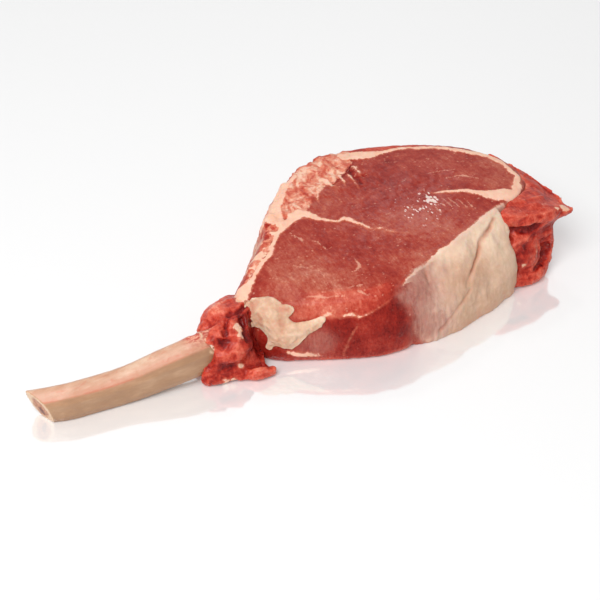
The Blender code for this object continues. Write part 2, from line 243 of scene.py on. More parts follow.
def srgb(red, green, blue):
    """A colour from its 0 to 255 screen values."""
    def linear(value):
        value /= 255
        return value / 12.92 if value <= 0.04045 else ((value + 0.055) / 1.055) ** 2.4
    return (linear(red), linear(green), linear(blue), 1.0)


class Look:
    """A material and short names for the nodes that it is wired from."""

    def __init__(self, name):
        self.material = bpy.data.materials.new(name)
        self.material.use_nodes = True
        self.tree = self.material.node_tree
        self.shader = self.tree.nodes["Principled BSDF"]
        place = self.new("ShaderNodeTexCoord")
        scale = self.new("ShaderNodeVectorMath", operation="SCALE")
        scale.inputs["Scale"].default_value = 1 / MM
        self.join(place.outputs["Object"], scale.inputs[0])
        self.place = scale.outputs[0]

    def new(self, kind, **settings):
        """A node of a kind."""
        node = self.tree.nodes.new(kind)
        for key, value in settings.items():
            setattr(node, key, value)
        return node

    def join(self, source, target):
        """Wires a socket, or sets it to a plain value."""
        if isinstance(source, bpy.types.NodeSocket):
            self.tree.links.new(source, target)
        else:
            target.default_value = source

    def field(self, name):
        """A number stored on the mesh."""
        return self.new("ShaderNodeAttribute", attribute_name=name).outputs["Fac"]

    def stretch(self, size):
        """The place, squeezed so that a feature of unit size spans size millimetres on each axis."""
        node = self.new("ShaderNodeVectorMath", operation="DIVIDE")
        self.join(self.place, node.inputs[0])
        node.inputs[1].default_value = size if isinstance(size, tuple) else (size, size, size)
        return node.outputs[0]

    def noise(self, size, detail, roughness, warp, seed):
        """Noise from 0 to 1 with features of the given size, in millimetres."""
        node = self.new("ShaderNodeTexNoise", noise_dimensions="4D")
        self.join(self.stretch(size), node.inputs["Vector"])
        node.inputs["W"].default_value = seed
        node.inputs["Scale"].default_value = 1.0
        node.inputs["Detail"].default_value = detail
        node.inputs["Roughness"].default_value = roughness
        node.inputs["Distortion"].default_value = warp
        return node.outputs["Fac"]

    def cells(self, size):
        """Distance to the nearest of many scattered spots."""
        node = self.new("ShaderNodeTexVoronoi", feature="F1")
        self.join(self.stretch(size), node.inputs["Vector"])
        node.inputs["Scale"].default_value = 1.0
        return node.outputs["Distance"]

    def math(self, operation, first, second=0.0, clamp=False):
        """One sum of two values or sockets."""
        node = self.new("ShaderNodeMath", operation=operation, use_clamp=clamp)
        self.join(first, node.inputs[0])
        self.join(second, node.inputs[1])
        return node.outputs[0]

    def ramp(self, value, low, high, start=0.0, end=1.0):
        """A smooth change from start to end as the value goes from low to high."""
        node = self.new("ShaderNodeMapRange", interpolation_type="SMOOTHSTEP")
        self.join(value, node.inputs["Value"])
        node.inputs["From Min"].default_value = low
        node.inputs["From Max"].default_value = high
        node.inputs["To Min"].default_value = start
        node.inputs["To Max"].default_value = end
        return node.outputs["Result"]

    def mix(self, factor, first, second):
        """The first colour at factor 0 and the second at factor 1."""
        node = self.new("ShaderNodeMix", data_type="RGBA")
        self.join(factor, node.inputs["Factor"])
        self.join(first, node.inputs["A"])
        self.join(second, node.inputs["B"])
        return node.outputs["Result"]

    def colors(self, value, stops):
        """A colour picked by a value from stops, each (position 0 to 1, colour)."""
        node = self.new("ShaderNodeValToRGB")
        self.join(value, node.inputs["Fac"])
        elements = node.color_ramp.elements
        elements[0].position, elements[0].color = stops[0]
        elements[1].position, elements[1].color = stops[-1]
        for position, color in stops[1:-1]:
            elements.new(position).color = color
        return node.outputs["Color"]

    def add(self, *values):
        """All the values added up."""
        total = values[0]
        for value in values[1:]:
            total = self.math("ADD", total, value)
        return total

    def times(self, first, second):
        """The product of two values."""
        return self.math("MULTIPLY", first, second)

    def sway(self, value, height):
        """A 0 to 1 value made to swing both ways about 0, with the given height."""
        return self.times(self.math("SUBTRACT", value, 0.5), height)

    def finish(self, color, roughness, height, depth, strength=1.0, **sockets):
        """Wires colour, roughness and a bump of depth millimetres, and sets the other sockets."""
        self.join(color, self.shader.inputs["Base Color"])
        self.join(roughness, self.shader.inputs["Roughness"])
        relief = self.new("ShaderNodeBump")
        relief.inputs["Strength"].default_value = strength
        relief.inputs["Distance"].default_value = depth * MM
        self.join(height, relief.inputs["Height"])
        self.join(relief.outputs["Normal"], self.shader.inputs["Normal"])
        for name, value in sockets.items():
            self.shader.inputs[name.replace("_", " ")].default_value = value
        return self.material


FLESH_SCALE = [(0.0, srgb(61, 0, 0)), (0.22, srgb(107, 14, 10)), (0.42, srgb(143, 36, 27)),
               (0.58, srgb(163, 60, 46)), (0.76, srgb(181, 94, 75)), (1.0, srgb(215, 156, 132))]
RAW_SCALE = [(0.0, srgb(52, 4, 8)), (0.2, srgb(104, 14, 16)), (0.42, srgb(158, 36, 26)),
             (0.6, srgb(194, 68, 50)), (0.8, srgb(218, 106, 84)), (1.0, srgb(238, 162, 136))]
FAT_SCALE = [(0.0, srgb(196, 122, 94)), (0.35, srgb(226, 160, 132)), (0.6, srgb(240, 190, 164)),
             (1.0, srgb(250, 220, 200))]
CREAM_SCALE = [(0.0, srgb(184, 116, 92)), (0.3, srgb(204, 146, 120)), (0.55, srgb(212, 172, 144)),
               (1.0, srgb(240, 212, 186))]
FILM_SCALE = [(0.2, srgb(138, 62, 58)), (0.45, srgb(166, 106, 95)), (0.62, srgb(190, 142, 126)),
              (0.85, srgb(220, 184, 166))]
SPONGE_SCALE = [(0.25, srgb(172, 56, 42)), (0.45, srgb(200, 92, 70)), (0.62, srgb(220, 138, 112)),
                (0.82, srgb(240, 194, 168))]
# The rib's side and upper colours: its own tan and pink, with the side painted darker as shade and the upper
# side painted paler as light from above.
BONE_SIDE_SCALE = [(0.2, srgb(152, 109, 78)), (0.5, srgb(174, 133, 99)), (0.7, srgb(196, 157, 125))]
BONE_TOP_SCALE = [(0.34, srgb(192, 138, 110)), (0.5, srgb(207, 162, 134)), (0.64, srgb(222, 190, 164))]
WET = dict(Coat_Roughness=0.2, Coat_IOR=1.3, Specular_IOR_Level=0.18, Subsurface_Weight=0.3,
           Subsurface_Radius=(1.0, 0.25, 0.12), Subsurface_Scale=0.0018, IOR=1.38)
SCRAPED = dict(Coat_Weight=0.12, Coat_Roughness=0.3, Subsurface_Weight=0.2,
               Subsurface_Radius=(1.0, 0.6, 0.4), Subsurface_Scale=0.0015)
RIDGE_COLOR = srgb(196, 100, 70)
FLECK_COLOR = srgb(204, 110, 82)
TIP_RIM_COLOR = srgb(228, 196, 164)
MARROW_COLOR = srgb(92, 26, 20)
# colour of marbling, also used for painted highlights along knife marks
STREAK_COLOR = srgb(228, 166, 140)
FAT_EDGE_COLOR = srgb(216, 124, 96)
# orange-brown tint with painted shade, laid along the creases of the fat cover
CREASE_TINT_AND_SHADE_COLOR = srgb(176, 88, 56)
# colour of painted highlights: glints of light laid into the base colour of the wet meat
PAINTED_GLINT_COLOR = srgb(246, 222, 212)


def flesh_look(name, shine=0.12):
    """Meat, fat and membrane, told apart by fields stored on the mesh.

    tone: dark to pale flesh.  raw: 1 where torn and orange-red.  streak: millimetres into marbling,
    and into painted highlights along knife marks.
    sponge: millimetres into spongy bone.  pale: makes that bone paler.  fat: millimetres into fat.
    cream: 1 where the fat is the yellower outer cover.  lift: makes fat paler, and carries painted light
    and painted shade.  film: 1 under membrane.  whiten: makes membrane paler.  stain: 1 along the creases
    of the fat cover, an orange-brown tint with painted shade.  gloss: 1 where wet.  sparkle: 1 where wet
    and where painted highlights gather.
    """
    look = Look(name)
    broad = look.noise(9.0, 4, 0.6, 0.4, seed=1)
    grain = look.noise(1.5, 3, 0.6, 0.0, seed=2)
    fine = look.noise(0.55, 2, 0.6, 0.0, seed=3)
    patch = look.noise((3.5, 5.5, 5.0), 3, 0.6, 0.8, seed=15)
    fibre = look.noise((0.9, 4.5, 3.0), 3, 0.6, 0.5, seed=16)
    gloss = look.field("gloss")
    calm = look.math("SUBTRACT", 1.0, gloss, clamp=True)

    value = look.add(look.field("tone"), look.sway(broad, 0.34),
                     look.sway(patch, look.ramp(gloss, 0.2, 0.8, 0.52, 0.18)), look.sway(grain, 0.34),
                     look.sway(fibre, 0.3), look.sway(fine, 0.26))
    color = look.mix(look.field("raw"), look.colors(value, FLESH_SCALE), look.colors(value, RAW_SCALE))

    dots = look.times(look.ramp(look.add(look.cells(2.8), look.times(fine, 0.35)), 0.42, 0.26),
                      look.ramp(look.noise(6.0, 2, 0.5, 0.0, seed=8), 0.44, 0.6))
    strands = look.ramp(look.noise((3.2, 1.1, 2.0), 2, 0.5, 1.2, seed=7), 0.66, 0.74)
    # streaks: marbling strokes, and painted highlights along knife marks
    streaks = look.add(look.field("streak"), look.sway(fine, 1.6), look.sway(patch, 1.6))
    marbling = look.times(look.math("MAXIMUM", dots, strands), look.times(calm, 0.66))
    marbling = look.math("MAXIMUM", look.ramp(streaks, -0.35, 0.35), marbling)
    color = look.mix(look.times(marbling, 0.68), color, STREAK_COLOR)

    waver = look.sway(look.noise(2.6, 4, 0.65, 0.6, seed=4), 3.4)
    mottle = look.noise((5.0, 6.5, 7.0), 4, 0.6, 0.8, seed=9)
    pores = look.noise(1.3, 2, 0.5, 0.0, seed=10)
    bone = look.add(look.sway(mottle, 1.7), look.times(pores, 0.35), 0.3, look.field("pale"))
    sponge = look.add(look.field("sponge"), look.times(waver, 2.2))
    color = look.mix(look.ramp(sponge, -0.6, 0.8), color, look.colors(bone, SPONGE_SCALE))

    fat = look.add(look.field("fat"), waver)
    blush = look.noise(4.5, 3, 0.6, 0.3, seed=5)
    shade = look.add(look.times(blush, 0.6), look.field("lift"), 0.32)
    inside = look.mix(look.field("cream"), look.colors(shade, FAT_SCALE), look.colors(shade, CREAM_SCALE))
    color = look.mix(look.ramp(fat, -1.1, 0.1, 0.0, 0.45), color, FAT_EDGE_COLOR)
    color = look.mix(look.ramp(fat, -0.2, 0.4), color, inside)

    wrinkles = look.noise((1.5, 1.5, 8.0), 3, 0.6, 0.9, seed=12)
    veil = look.add(look.times(wrinkles, 0.3), look.times(broad, 0.3), 0.17, look.field("whiten"))
    cover = look.add(look.field("film"), look.sway(wrinkles, 0.35))
    color = look.mix(look.times(look.ramp(cover, 0.05, 0.95), 0.95), color, look.colors(veil, FILM_SCALE))
    # the creases of the fat cover: orange-brown tint with painted shade
    color = look.mix(look.field("crease_tint_and_shade"), color, CREASE_TINT_AND_SHADE_COLOR)

    # painted highlights: pale glints scattered over the flesh, gathered most where the cut face is wet
    painted_glints = look.add(look.times(look.math("SUBTRACT", 0.5, look.cells((1.5, 3.0, 1.6))), 0.9),
                      look.times(look.field("sparkle"), 0.5), look.sway(patch, 1.1), look.sway(fine, 0.5))
    color = look.mix(look.times(look.ramp(painted_glints, 0.66, 0.74), 0.8), color, PAINTED_GLINT_COLOR)
    height = look.add(look.times(grain, 0.6), look.times(fine, 0.35),
                      look.times(look.times(gloss, pores), 1.2))
    roughness = look.math("SUBTRACT", look.ramp(grain, 0.2, 0.8, 0.36, 0.54), look.times(gloss, 0.2))
    return look.finish(color, roughness, height, 0.22, 0.8, Coat_Weight=shine, **WET)


def bone_look(name):
    """Scraped rib.

    tone: 1 on the upper side, pinker than the side and painted paler as lit from above, while the side
    is painted darker as shade.  low: 1 at its foot.  edge: 1 along its ridge.  blood: 1 where shreds of
    meat cling.  rim, core, marrow: 1 on the parts of the sawn tip.
    """
    look = Look(name)
    broad = look.noise((15.0, 5.0, 5.0), 3, 0.55, 0.3, seed=1)
    scrape = look.noise((7.0, 0.9, 0.9), 3, 0.55, 0.1, seed=2)
    fine = look.noise(0.6, 2, 0.6, 0.0, seed=3)
    shade = look.add(look.times(broad, 0.72), look.times(scrape, 0.2), look.times(fine, 0.06))
    side = look.colors(look.add(shade, look.times(look.field("low"), -0.16)), BONE_SIDE_SCALE)
    # the upper side takes the pinker colours, painted paler as lit from above
    color = look.mix(look.field("tone"), side, look.colors(shade, BONE_TOP_SCALE))
    ridge = look.times(look.field("edge"), look.ramp(broad, 0.36, 0.62, 0.1, 0.75))
    color = look.mix(ridge, color, RIDGE_COLOR)
    flecks = look.ramp(look.noise((5.0, 1.8, 1.8), 3, 0.6, 0.6, seed=5), 0.56, 0.68)
    color = look.mix(look.times(flecks, look.times(look.field("tone"), 0.35)), color, FLECK_COLOR)
    tissue = look.ramp(look.noise((2.2, 1.2, 1.2), 3, 0.65, 0.8, seed=6), 0.42, 0.6)
    flesh = look.mix(tissue, srgb(182, 58, 44), srgb(226, 158, 132))
    color = look.mix(look.field("blood"), color, flesh)
    color = look.mix(look.field("rim"), color, TIP_RIM_COLOR)
    holes = look.ramp(look.noise(0.9, 3, 0.6, 0.0, seed=7), 0.4, 0.6)
    color = look.mix(look.field("core"), color, look.mix(holes, srgb(150, 82, 56), srgb(206, 150, 112)))
    color = look.mix(look.field("marrow"), color, MARROW_COLOR)
    height = look.add(look.times(scrape, 0.45), look.times(fine, 0.15))
    return look.finish(color, look.ramp(scrape, 0.3, 0.7, 0.4, 0.54), height, 0.2, 0.6, **SCRAPED)


# ---------------------------------------------------------------- the chop's map
# Bands of fat in the meat, which run through the chop: x, y, half width.

MID_SEAM = ((13, 18.8, 2.6), (18.5, 17, 2.0), (22.5, 10.5, 1.1), (28, 4.6, 0.6), (33, 3.2, 1.3),
            (35.5, -2, 0.9), (39.3, -8.2, 0.5), (44, -14, 0.2), (48, -20, 0.0))
LEFT_BAND = ((16, 18.7, 2.6), (10, 16.4, 2.5), (2.7, 12.6, 1.6), (-4, 7.4, 1.1), (-9.5, 1.2, 1.3),
             (-14.3, -1.1, 1.3), (-19.4, -4.6, 1.3), (-24.6, -8.4, 1.7), (-31, -11, 4.4))
OUTER_STRIP = ((5, 20.5, 3.2), (6.7, 25.5, 3.4), (10.5, 31.5, 3.6), (16, 37.5, 3.4), (22.5, 43, 2.6),
               (29, 46.5, 1.6))
TOP_STRIP = ((58, 47.5, 2.4), (64, 44.6, 3.3), (70, 42, 2.9), (76.5, 40, 1.5), (86, 37.6, 1.0), (95, 33, 1.1),
             (105, 27, 1.3))
RIGHT_STRIP = ((104, 27.5, 1.3), (112, 18.5, 1.7), (119, 9.2, 1.9), (121.8, 1.5, 1.4), (122.3, -6, 1.2),
               (121, -12.5, 1.5), (118, -17, 2.2), (113, -21, 2.2), (107, -24.6, 1.8), (101, -26.6, 1.4))
WEDGE = ((79, -1.5, 0.3), (88, -7.5, 0.9), (94, -12, 1.6), (98.5, -16.5, 2.8), (103, -20.3, 4.4),
         (109, -22, 3.6))
SEAMS = (MID_SEAM, LEFT_BAND, OUTER_STRIP, TOP_STRIP, RIGHT_STRIP, WEDGE)

# Marks on the cut face alone: marbling strokes, painted highlights along knife marks, and splinters
# of fat beside the spongy bone.
STROKES = (((21.5, -23, 0.25), (21, -29, 0.45), (16, -30, 0.1)), ((4.3, -19.7, 0.2), (4, -25.5, 0.25)),
           ((3.7, -29.5, 0.2), (3.7, -35, 0.25)), ((7, 5.7, 0.3), (7, 1.2, 0.35)),
           ((12, -2, 0.1), (14, -9, 0.3)), ((13, -41.5, 0.3), (15, -44.5, 0.4)),
           ((90, 4.6, 0.2), (98, 1, 0.5), (104, -5, 0.2)), ((84, 13, 0.1), (92, 10, 0.3), (98, 7, 0.1)),
           ((70, 33, 0.1), (78, 28, 0.3)), ((-4, -12, 0.1), (0, -17, 0.3)),
           # the next six strokes, side by side, are painted highlights along knife marks
           ((80, -8, 0.1), (79.8, -16, 0.35)), ((82.6, -9, 0.1), (82.4, -18, 0.35)),
           ((85.4, -11, 0.1), (85, -20, 0.4)), ((88.2, -14, 0.1), (87.6, -21, 0.3)),
           ((77.4, -9, 0.1), (77.3, -14, 0.3)), ((73, -12, 0.1), (72.8, -17, 0.3)),
           ((-8, -31.5, 0.4), (-3, -34.6, 0.5), (5.8, -40.2, 0.3)), ((10, -38, 0.2), (16, -40, 0.3)))
SPLINTERS = (((47.6, 34.5, 1.0), (46.2, 25.5, 0.1)), ((52.4, 32, 0.7), (50.4, 21, 0.0)),
             ((58.5, 37, 0.6), (57.6, 30, 0.1)), ((39.5, 36, 1.6), (41.6, 28.5, 0.5)),
             ((33, 29.5, 0.7), (29, 22, 0.0)))

# Lines on the near wall: x, y, z, half width.
LIP_SEAM = ((27, -49.6, 28, -0.6), (20, -49.6, 26, -0.1), (11, -48, 22.3, 0.0), (6.4, -45.5, 23.4, 0.8),
            (1, -43, 22.3, 0.1), (-2.4, -40.5, 24, 0.8), (-6, -40, 21.5, 0.9))
VEIN = ((8.5, -48.5, 19, -0.4), (5.3, -48.4, 14.2, -0.1), (2.6, -48.5, 9, 0.0), (1, -48.5, 3.5, -0.3))
LOW_STRIP = ((-21, -36.8, 6.5, 0.5), (-16.4, -39.6, 5.2, 1.3), (-11.5, -42, 4.8, 1.0), (-8, -43.4, 4, 0.3))
LOWER_FILM = (-10, -42, 11)

# The crevice in the cut face, painted dark as its shade, the inner edge of the spongy bone and that of the
# fat cover.
CREVICE = ((54.6, 36, 0.5), (54.3, 30, 0.9), (53.6, 23, 0.3))
CREVICE_BRANCH = ((54.5, 29, 0.5), (60, 28.5, 0.2))
SPONGE_EDGE = ((-2, 28), (12, 17), (20, 18.6), (27, 24.5), (34.5, 29), (42, 32), (47, 33.2), (52, 35.5),
               (58, 38.8), (63, 44), (70, 60))
CAP_EDGE = ((20, -60), (28, -48.6), (31, -46.8), (35.6, -44.9), (39, -43.3), (50.7, -41.5), (64, -38),
            (78, -33.8), (84, -31.6), (89.7, -29.3), (96.6, -27.7), (102.5, -26.2), (110, -26))

# Creases and swellings of the fat cover.
MAIN_CREASE = ((92, -33, 36, 0), (88, -35.2, 34.8, 0), (84.5, -37, 34, 0), (80, -40, 32.5, 0),
               (77, -43.2, 30, 0), (72.5, -46.5, 27.5, 0), (68, -49.5, 24, 0), (65, -51.8, 20, 0))
SECOND_CREASE = ((66.3, -53, 18.4, 0), (59.1, -55.7, 14.3, 0), (52.9, -57.2, 10.2, 0), (47.2, -57.9, 5.9, 0))
THIRD_CREASE = ((45.3, -45.6, 33.5, 0), (45.1, -48.7, 29.9, 0))
FAT_LUMP = (88, -42, 27)
FAT_SWELLS = (((66, -46, 30), 8, (1, 1, 0.7)), ((97, -42, 19), 6, (1, 1, 1)))

# Parts of the cut face that are paler or darker: centre, radius, change of tone.
SHADES = (((0, -24, 0), 17, 0.15), ((56, 28, 0), 11, -0.10), ((78, 22, 0), 20, -0.12),
          ((63, -20, 0), 14, 0.13), ((24, -14, 0), 13, -0.13))
# Where the cut face is wet and where painted highlights gather: centre, radius, squeeze.
WET_AND_GLINT_SPOTS = (((67, -8, 0), 15, (1, 0.8, 0)), ((75.5, -6, 0), 3.2, (1, 0.7, 0)))


def chart(points, facing):
    """Relief of the chop's own surface, in millimetres, and the fields that colour it."""
    x, y, z = points.T
    top = step(0.75, 0.95, facing[:, 2])
    under = step(0.75, 0.95, -facing[:, 2])
    wall = 1 - top - under
    rim = step(0.55, 0.85, facing[:, 2])
    drift = layers(points, 6.0, 3, 11)
    moved = points + np.column_stack([drift, layers(points, 6.0, 3, 15), np.zeros(len(points))]) * 0.8

    # the near wall: a lip of meat over a darker wall, with a raw hem at its foot
    front = step(-22, -30, y) * step(34, 27, x) * (1 - top)
    seam_z = np.interp(x, (-6, 1, 11, 16, 26, 33), (21.5, 22.3, 22.3, 24.3, 27.5, 30.5))
    below = step(0.6, -1.2, z - seam_z) * front * (1 - under)
    lip = step(31, 24, x + 2 * drift) * step(-27, -36, y + 2 * drift) * (1 - below)
    lip *= step(0.99, 0.90, facing[:, 2]) * step(18, 24, z)
    hem = bump(z - 1.2, 1.6) * step(-30, -40, y) * step(40, 28, x) * (1 - top)

    # fat: seams through the meat, marks on the face, lines on the wall and the cover at the side
    seams = union(along(moved, band) for band in SEAMS)
    seams = seams - 20 * step(-24, -30, y) * step(110, 96, x)
    face_only = np.where(top > 0.3, 0, FAR)
    strokes = union(along(moved, stroke) for stroke in STROKES) + face_only
    splinters = union(along(moved, splinter) for splinter in SPLINTERS) + face_only
    lines = union(along(points, line) for line in (LIP_SEAM, VEIN, LOW_STRIP))
    into_cap = level(moved, CAP_EDGE) - moved[:, 1]
    in_cap = step(-0.5, 1.5, into_cap) * (1 - under)
    cap = into_cap - 1.1 * step(60, 44, x) - 1.5 * step(38, 30, x)
    cap = np.minimum(cap, (x - 48 - (z - 18) * 0.1) * 0.3 + 1.6 * drift + 20 * rim)
    fat = union((seams, splinters, lines, cap))

    # the left margin and the far wall: patches of fat on raw meat
    over = y - level(points, LEFT_BAND[::-1])
    margin = step(0.5, 2.5, over) * step(14, 8, x)
    patches = layers(points, (5, 4, 8), 3, 17)
    fat = np.maximum(fat, np.where(margin > 0.2, (patches - 0.4) * (1.7 + 1.8 * top), FAR))
    beyond = y - level(points, TOP_STRIP)
    edge_strip = step(0.3, 1.5, beyond) * step(56, 62, x) * step(106, 104, x)
    back = wall * step(0, 12, y + 5 * drift)
    cover = layers(points, (17, 17, 8), 3, 18)
    fat = np.maximum(fat, 2.2 * cover - 0.9 - 4 * edge_strip + FAR * (1 - back))

    # spongy bone, with a pit at its edge, sunk and painted darker as the shade in it
    sponge = moved[:, 1] - level(moved, SPONGE_EDGE)
    sponge = np.minimum(sponge, 6) - 12 * step(58, 72, x + 4 * drift)
    sponge = np.maximum(sponge, np.where(margin > 0.2, patches * 5 + 1.2, FAR))
    pit = np.maximum(along(moved, CREVICE), along(moved, CREVICE_BRANCH))
    pit = np.where(top > 0.2, step(-1.4, 0.6, pit), 0)

    # membrane: beside the fat cover, along its edge, low on the near wall and on the far wall
    film_edge = np.interp(z, (2, 8, 17, 28, 31), (37, 32, 31, 26.5, 30))
    film = step(-6, 13, x - film_edge + 1.5 * drift) * step(-35, -42, y) * wall
    film *= 1 - 0.9 * step(42, 62, x + drift * 4)
    film = np.maximum.reduce([film,
                              0.55 * bump(into_cap - 1.6, 1.9) * step(52, 72, x) * (1 - under),
                              0.55 * rim * step(-0.5, 0.8, into_cap) * step(30, 40, x) * step(60, 46, x),
                              0.42 * np.minimum(1.6 * near(points, LOWER_FILM, 10, (1, 1, 1.3)), 1),
                              0.62 * back * step(-0.7, 0.5, cover)])
    whiten = 0.04 + 0.3 * step(32, 58, x + drift * 3 - (z - 18) * 0.25) + 0.1 * back

    main_crease = along(moved, MAIN_CREASE)
    crease = bump(main_crease, 1.1)
    small = np.maximum(bump(along(points, SECOND_CREASE), 1.1), bump(along(points, THIRD_CREASE), 0.9))
    lump = near(points, FAT_LUMP, 9, (1, 1, 0.6))
    swell = sum(near(points, *place) for place in FAT_SWELLS)

    tone = 0.58 + 0.10 * layers(points, 13, 3, 24)
    tone += sum(change * near(points, centre, radius, PLAN) for centre, radius, change in SHADES)
    # the pit is painted darker as the shade in the crevice
    tone += 0.04 * lip - 0.15 * below - 0.05 * wall + 0.16 * hem - 0.26 * pit
    tone += 0.16 * margin * (0.5 + patches) + 0.08 * edge_strip
    raw = np.maximum.reduce([0.6 * lip, 0.75 * margin, 0.8 * edge_strip, 0.5 * pit, 0.35 * back, 0.3 * below,
                             0.8 * hem])
    # wet spots on the cut face, where the painted highlights also gather
    sparkle = top * sum(near(points, *spot) for spot in WET_AND_GLINT_SPOTS)
    # orange-brown tint with painted shade along the creases of the fat cover
    crease_tint_and_shade = in_cap * np.maximum.reduce([0.7 * bump(main_crease, 1.3) * step(16, 30, z), 0.35 * small,
                                        0.16 * near(points, (62, -48, 25), 15)])

    relief = 0.35 * layers(points, 24, 2, 20) * top + 0.10 * layers(points, 2.2, 2, 21)
    relief += 0.30 * step(-0.7, 0.6, union((seams, splinters, lines)))
    relief += 0.25 * layers(points, (5, 5, 11), 3, 23) * wall
    relief += 0.3 * step(-1, 1, sponge) * layers(points, 3.2, 3, 31) * (1 - in_cap)
    cover_end = step(0.5, 0.8, facing[:, 0]) * step(88, 93, x) * step(-26, -32, y)
    relief += 1.5 * layers(points, (9, 9, 8), 2, 33) * cover_end
    relief += -0.9 * pit + 0.35 * margin * patches + 0.3 * step(-1.5, 1.5, into_cap) * top
    relief += in_cap * (1.6 * lump + 1.1 * swell - 1.4 * crease - 0.6 * small)
    relief += in_cap * 0.7 * layers(points, (11, 11, 15), 2, 41)
    relief += in_cap * 0.12 * (ridges(points, (5, 5, 22), 2, 45) - 0.5)
    relief += 0.30 * film * wall * layers(points, (1.7, 1.7, 16), 2, 43) * in_cap
    torn_rim = bump(facing[:, 2] - 0.6, 0.4) * step(10, 25, y) * step(75, 50, x)
    relief += 1.1 * torn_rim * layers(points, 3.6, 3, 37)
    relief *= 1 - 0.8 * under

    return relief, dict(
        tone=tone, raw=raw, streak=strokes, sponge=sponge, fat=fat, film=film, whiten=whiten, crease_tint_and_shade=crease_tint_and_shade,
        pale=0.1 + 0.14 * near(points, (34, 46, 0), 9, PLAN) - 0.22 * wall,
        cream=step(0, 2.5, into_cap) * step(30, 50, x) * (1 - under),
        # painted highlight on the fat lump, painted shade in the main crease, painted light high on the cover
        # and painted shade low on it
        lift=0.2 * lump - 0.1 * crease + (0.3 * step(25, 36, z) - 0.15 * step(14, 0, z)) * in_cap,
        gloss=np.maximum(np.minimum(sparkle, 1), below * 0.8), sparkle=sparkle)


def knit(obj, whole, tree):
    """Lays the outer part of a piece on the chop's common surface, so that pieces meet flush."""
    points, facing = places(obj), facings(obj)
    spots, normals = points.copy(), facing.copy()
    for i, point in enumerate(points):
        spot, _, index, _ = tree.find_nearest(point, 1.6)
        if spot is None:
            continue
        corners = whole["faces"][index]
        normal = whole["facing"][corners].mean(0)
        normal /= np.linalg.norm(normal)
        agree = float(normal @ facing[i])
        share = min(max((agree - 0.25) / 0.35, 0), 1)
        spots[i] = point + (np.array(spot) - point) * share
        normals[i] = facing[i] + (normal - facing[i]) * share
    normals /= np.linalg.norm(normals, axis=1)[:, None]
    relief, fields = chart(spots, normals)
    put(obj, spots + normals * relief[:, None])
    store(obj, **fields)
    return obj


def common_surface():
    """The loin, its spine bone and its side fat as one smooth body."""
    body = skin("whole", ["loin_meat", "chine_bone", "side_fat"], 0.8, 0.35, 16)
    whole = {"facing": facings(body), "points": places(body),
             "faces": [tuple(face.vertices) for face in body.data.polygons]}
    tree = BVHTree.FromPolygons([tuple(point) for point in whole["points"]], whole["faces"])
    whole["faces"] = [np.array(face) for face in whole["faces"]]
    bpy.data.objects.remove(body)
    return whole, tree


def build_slab_piece(name, node, voxel, grow, whole, tree):
    """One piece of the common surface as a dense skin with its relief and colour fields."""
    return knit(skin(name, [node], voxel, grow, 6), whole, tree)


# Every field of the flesh look that a piece may leave out, with its value there.
REST = dict(sparkle=0, raw=0, fat=FAR, streak=FAR, film=0, whiten=0, sponge=FAR, pale=0, cream=0, gloss=0,
            lift=0, crease_tint_and_shade=0)


def plain_fields(count, **given):
    """Every field of the flesh look, at rest where not given."""
    return {**{name: np.full(count, float(value)) for name, value in REST.items()}, **given}


# ---------------------------------------------------------------- the lobe of soft fat
LOBE_SIDE = (-36, -20, 0)        # a point of the lobe's ragged left edge, and the way out of it
LOBE_OUTWARD = (-0.8, 0.6, 0.0)


def build_lobe():
    """The lobe of soft fat between the neck and the loin, creased all over and ragged on its left."""
    lobe = skin("fat_lobe_skin", ["fat_lobe"], 0.4, 0.25, 5)
    points, facing = places(lobe), facings(lobe)
    fold = 0.5 * layers(points, (7, 7, 9), 2, 51) + 0.55 * (ridges(points, (8, 8, 4), 2, 55) - 0.5)
    fold += 0.22 * layers(points, 1.8, 3, 57)
    ragged = warped(points, 2.6, 1.5, (61, 62, 63)) - points
    outer = step(-8, 0, (points - np.array(LOBE_SIDE)) @ LOBE_OUTWARD)
    put(lobe, points + facing * fold[:, None] + outer[:, None] * ragged)
    # painted shade: the lobe's fat is darker the deeper it lies in a fold
    fold_shade = np.clip(hollows(lobe, 50), -1, 1)
    count = len(points)
    store(lobe, **plain_fields(count, tone=np.full(count, 0.6), fat=np.full(count, 8.0),
                               cream=np.full(count, 1.0),
                               # paleness that varies at random, with painted shade in the folds
                               lift=-0.1 + 0.16 * layers(points, 5, 3, 64) - 0.4 * fold_shade))
    return lobe


